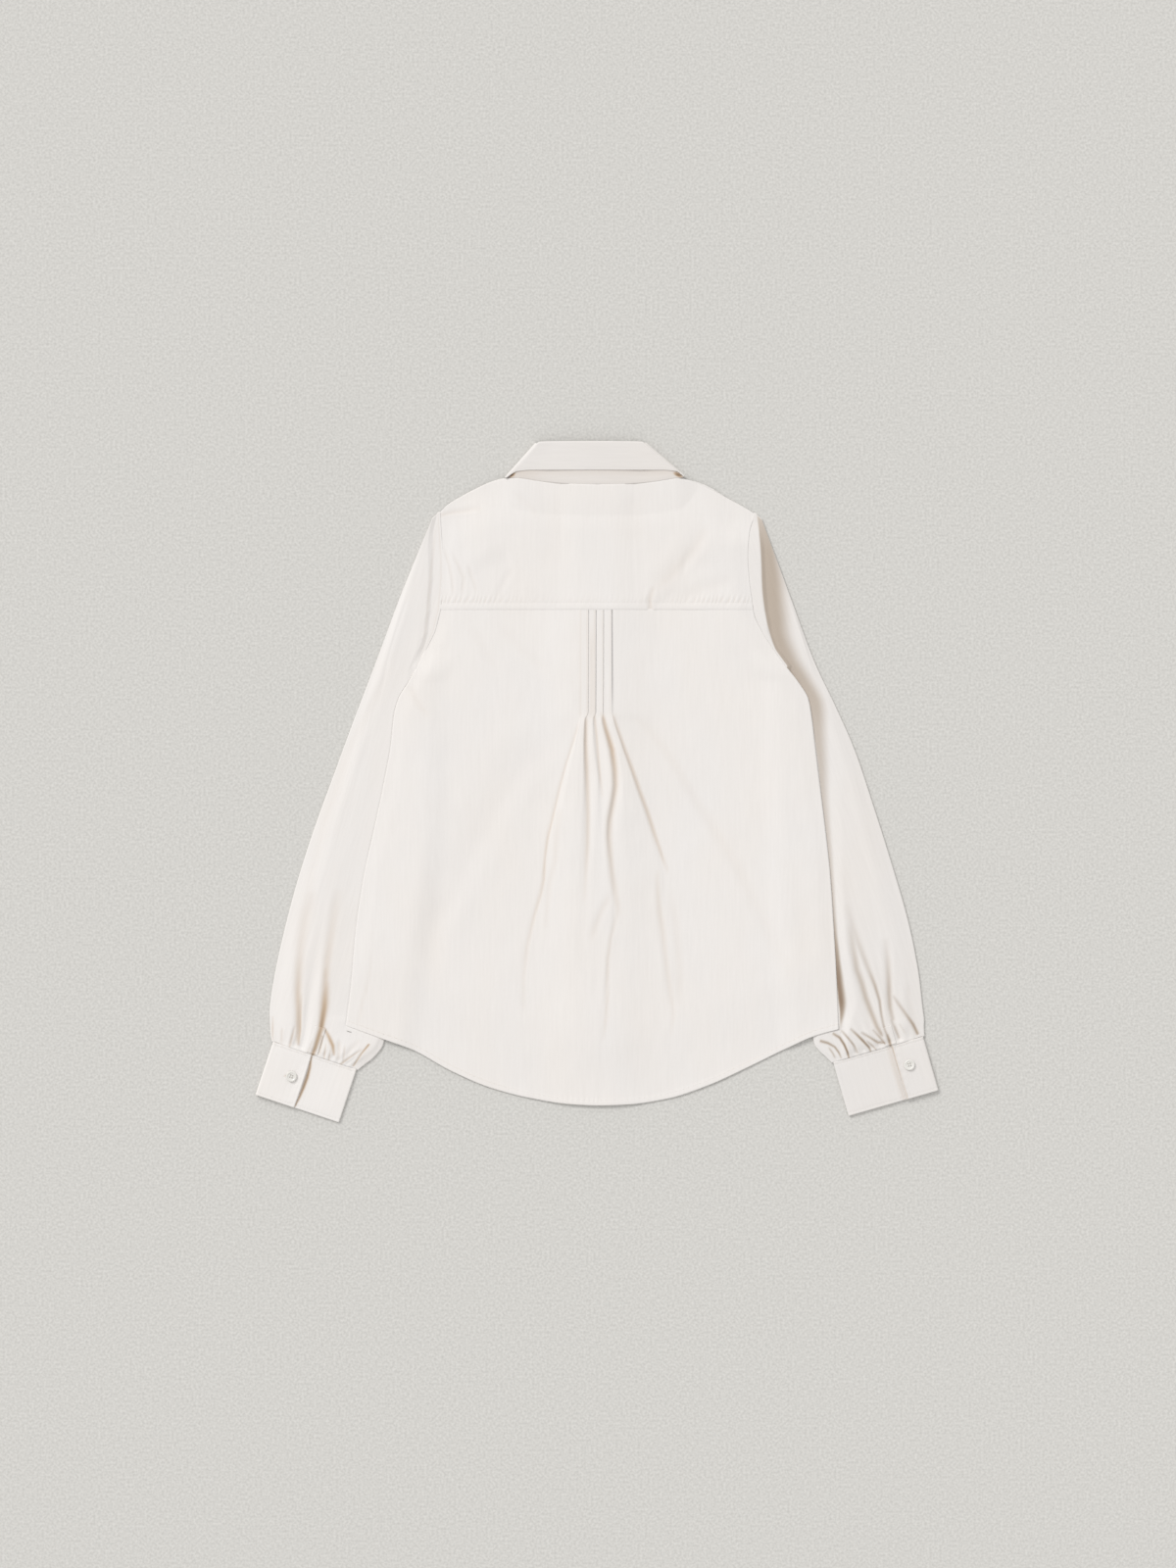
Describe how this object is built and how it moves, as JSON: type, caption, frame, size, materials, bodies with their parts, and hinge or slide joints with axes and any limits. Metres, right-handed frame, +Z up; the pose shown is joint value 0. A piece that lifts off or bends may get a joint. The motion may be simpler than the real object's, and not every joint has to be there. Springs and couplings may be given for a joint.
{
  "type": "pintuck blouse",
  "caption": "Ivory cotton blouse laid flat, back upwards: yoke, centre pintucks released into a fan, gathered sleeves, buttoned cuffs, small collar and curved hem.",
  "frame": {"origin": "middle of the blouse's footprint, on the surface that it lies on", "axes": "+X to the right as seen from above with the collar away from the viewer, +Y from the hem towards the collar, +Z up, out of the back of the blouse"},
  "size_m": [0.7319, 0.7301, 0.0112],
  "materials": {
    "cotton": "crisp ivory cotton with a fine upright slub",
    "faced_cotton": "the same cotton, doubled and pressed",
    "buttons": "pearly ivory"
  },
  "bodies": {
    "root": {"back_yoke": "cotton", "back_panel": "cotton", "front_left": "cotton", "front_right": "cotton", "front_placket": "faced_cotton", "collar_stand": "faced_cotton", "collar_leaf": "faced_cotton", "sleeve_left": "cotton", "sleeve_right": "cotton", "sleeve_placket_left": "faced_cotton", "sleeve_placket_right": "faced_cotton", "cuff_left": "faced_cotton", "cuff_right": "faced_cotton", "cuff_button_left": "buttons", "cuff_button_right": "buttons", "front_button_1": "buttons", "front_button_2": "buttons", "front_button_3": "buttons", "front_button_4": "buttons", "front_button_5": "buttons", "front_button_6": "buttons", "front_button_7": "buttons"}
  },
  "joints": []
}
